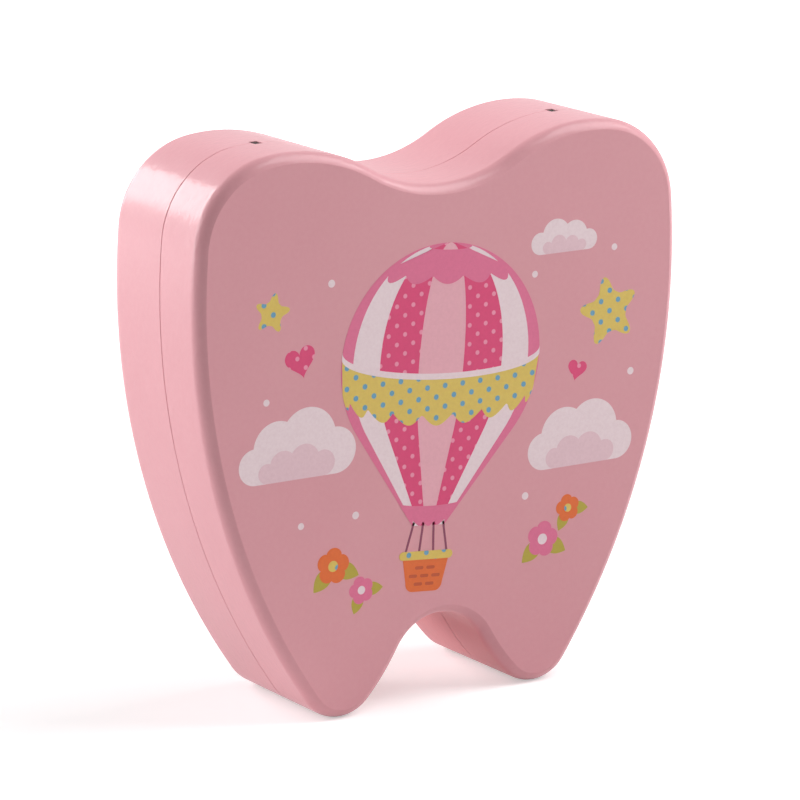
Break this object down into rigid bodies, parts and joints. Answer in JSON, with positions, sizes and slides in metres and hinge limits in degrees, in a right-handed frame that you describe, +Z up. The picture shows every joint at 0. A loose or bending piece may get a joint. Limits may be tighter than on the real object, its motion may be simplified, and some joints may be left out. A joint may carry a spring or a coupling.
{
  "type": "baby tooth box",
  "caption": "Keepsake box for milk teeth in the shape of a molar: two hinged painted wooden halves round a tray of wells and small vials.",
  "frame": {"origin": "middle of the foot of the closed box, at the height of its two root tips", "axes": "+Z up, +Y to the rear, +X to the right as seen from the printed front"},
  "size_m": [0.13, 0.0378, 0.1316],
  "materials": {
    "pink_lacquer": "satin pink lacquer on hardwood, faint brush texture",
    "felt": "cream wool felt",
    "plywood": "birch plywood, laser-cut edges",
    "vial_glass": "clear glass",
    "cork": "natural cork",
    "hinge_brass": "plain brass",
    "magnet_nickel": "nickel-plated"
  },
  "bodies": {
    "base": {"base_half": "pink_lacquer", "base_felt": "felt", "tooth_tray": "plywood", "left_vial": "vial_glass", "right_vial": "vial_glass", "base_magnet_left": "magnet_nickel", "base_magnet_right": "magnet_nickel", "hinge_left_base_barrel": "hinge_brass", "hinge_right_base_barrel": "hinge_brass", "hinge_left_base_pin": "hinge_brass", "hinge_right_base_pin": "hinge_brass"},
    "hinge_links": {"hinge_left_inner_link": "hinge_brass", "hinge_left_middle_link": "hinge_brass", "hinge_left_outer_link": "hinge_brass", "hinge_right_inner_link": "hinge_brass", "hinge_right_middle_link": "hinge_brass", "hinge_right_outer_link": "hinge_brass"},
    "lid": {"lid_half": "pink_lacquer", "chart_board": "plywood", "lid_magnet_left": "magnet_nickel", "lid_magnet_right": "magnet_nickel", "hinge_left_lid_barrel": "hinge_brass", "hinge_right_lid_barrel": "hinge_brass", "hinge_left_lid_pin": "hinge_brass", "hinge_right_lid_pin": "hinge_brass"},
    "left_cork": {"left_cork": "cork"},
    "right_cork": {"right_cork": "cork"}
  },
  "joints": [
    {"name": "hinge_swing", "type": "hinge", "parent": "base", "child": "hinge_links", "pos_m": [0, -0.0015, 0.13105], "axis": [-1, 0, 0], "range_deg": [0, 90]},
    {"name": "lid_swing", "type": "hinge", "parent": "hinge_links", "child": "lid", "pos_m": [0, -0.0035, 0.13105], "axis": [-1, 0, 0], "range_deg": [0, 90]},
    {"name": "left_cork_pull", "type": "slide", "parent": "base", "child": "left_cork", "axis": [0, 0, 1], "range_m": [0, 0.008]},
    {"name": "right_cork_pull", "type": "slide", "parent": "base", "child": "right_cork", "axis": [0, 0, 1], "range_m": [0, 0.008]}
  ],
  "couplings": [
    {"joint": "hinge_swing", "follows": "lid_swing", "ratio": 1}
  ]
}
